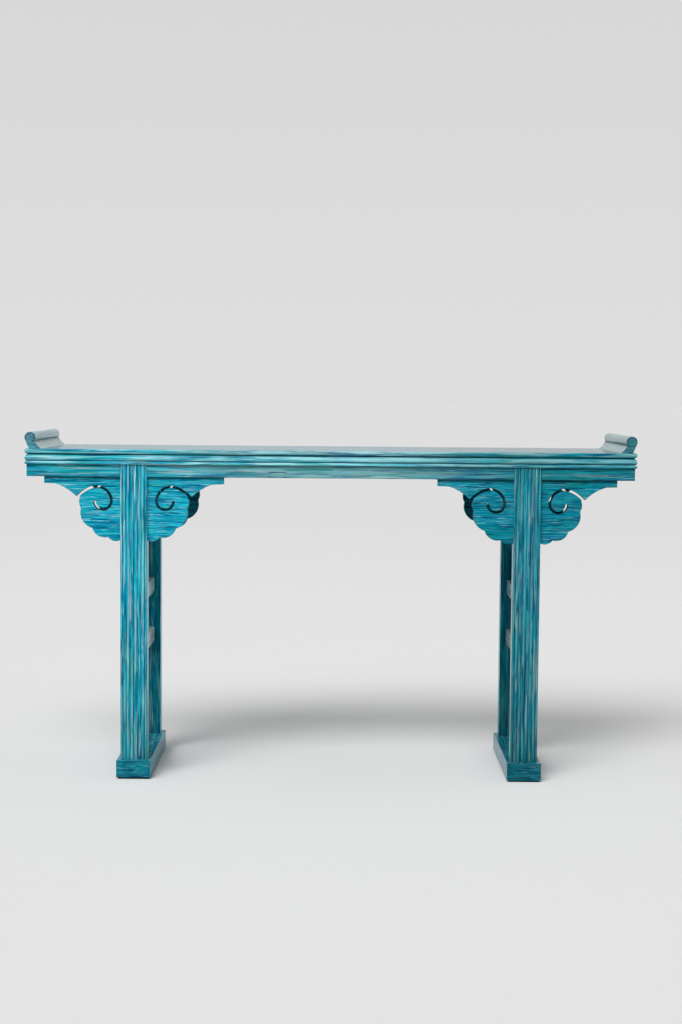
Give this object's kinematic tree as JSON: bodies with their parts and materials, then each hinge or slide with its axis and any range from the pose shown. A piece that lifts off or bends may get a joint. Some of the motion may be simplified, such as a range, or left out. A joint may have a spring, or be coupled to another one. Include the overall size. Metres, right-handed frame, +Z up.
{
  "type": "altar table",
  "caption": "Long narrow altar table with scrolled end flanges, a moulded top, pierced cloud spandrels, reeded legs set in from the ends and runner feet.",
  "frame": {"origin": "on the floor, midway between the ends and midway between front and back", "axes": "+X along the top to the right of someone facing the front, +Y from front to back, +Z up"},
  "size_m": [1.6, 0.402, 0.914],
  "materials": {
    "painted_wood": "gloss",
    "felt": "matte"
  },
  "bodies": {
    "root": {"top_rail_front": "painted_wood", "top_rail_back": "painted_wood", "top_end_left": "painted_wood", "top_end_right": "painted_wood", "top_panel": "painted_wood", "flange_left": "painted_wood", "flange_right": "painted_wood", "apron_front": "painted_wood", "apron_back": "painted_wood", "apron_end_left": "painted_wood", "apron_end_right": "painted_wood", "foot_left": "painted_wood", "foot_right": "painted_wood", "batten_1": "painted_wood", "batten_2": "painted_wood", "batten_3": "painted_wood", "batten_4": "painted_wood", "leg_front_left": "painted_wood", "leg_front_right": "painted_wood", "leg_back_left": "painted_wood", "leg_back_right": "painted_wood", "spandrel_front_left_outer": "painted_wood", "spandrel_front_left_inner": "painted_wood", "spandrel_front_right_outer": "painted_wood", "spandrel_front_right_inner": "painted_wood", "spandrel_back_left_outer": "painted_wood", "spandrel_back_left_inner": "painted_wood", "spandrel_back_right_outer": "painted_wood", "spandrel_back_right_inner": "painted_wood", "stretcher_left_lower": "painted_wood", "stretcher_left_upper": "painted_wood", "stretcher_right_lower": "painted_wood", "stretcher_right_upper": "painted_wood", "foot_pad_front_left": "felt", "foot_pad_front_right": "felt", "foot_pad_back_left": "felt", "foot_pad_back_right": "felt"}
  },
  "joints": []
}
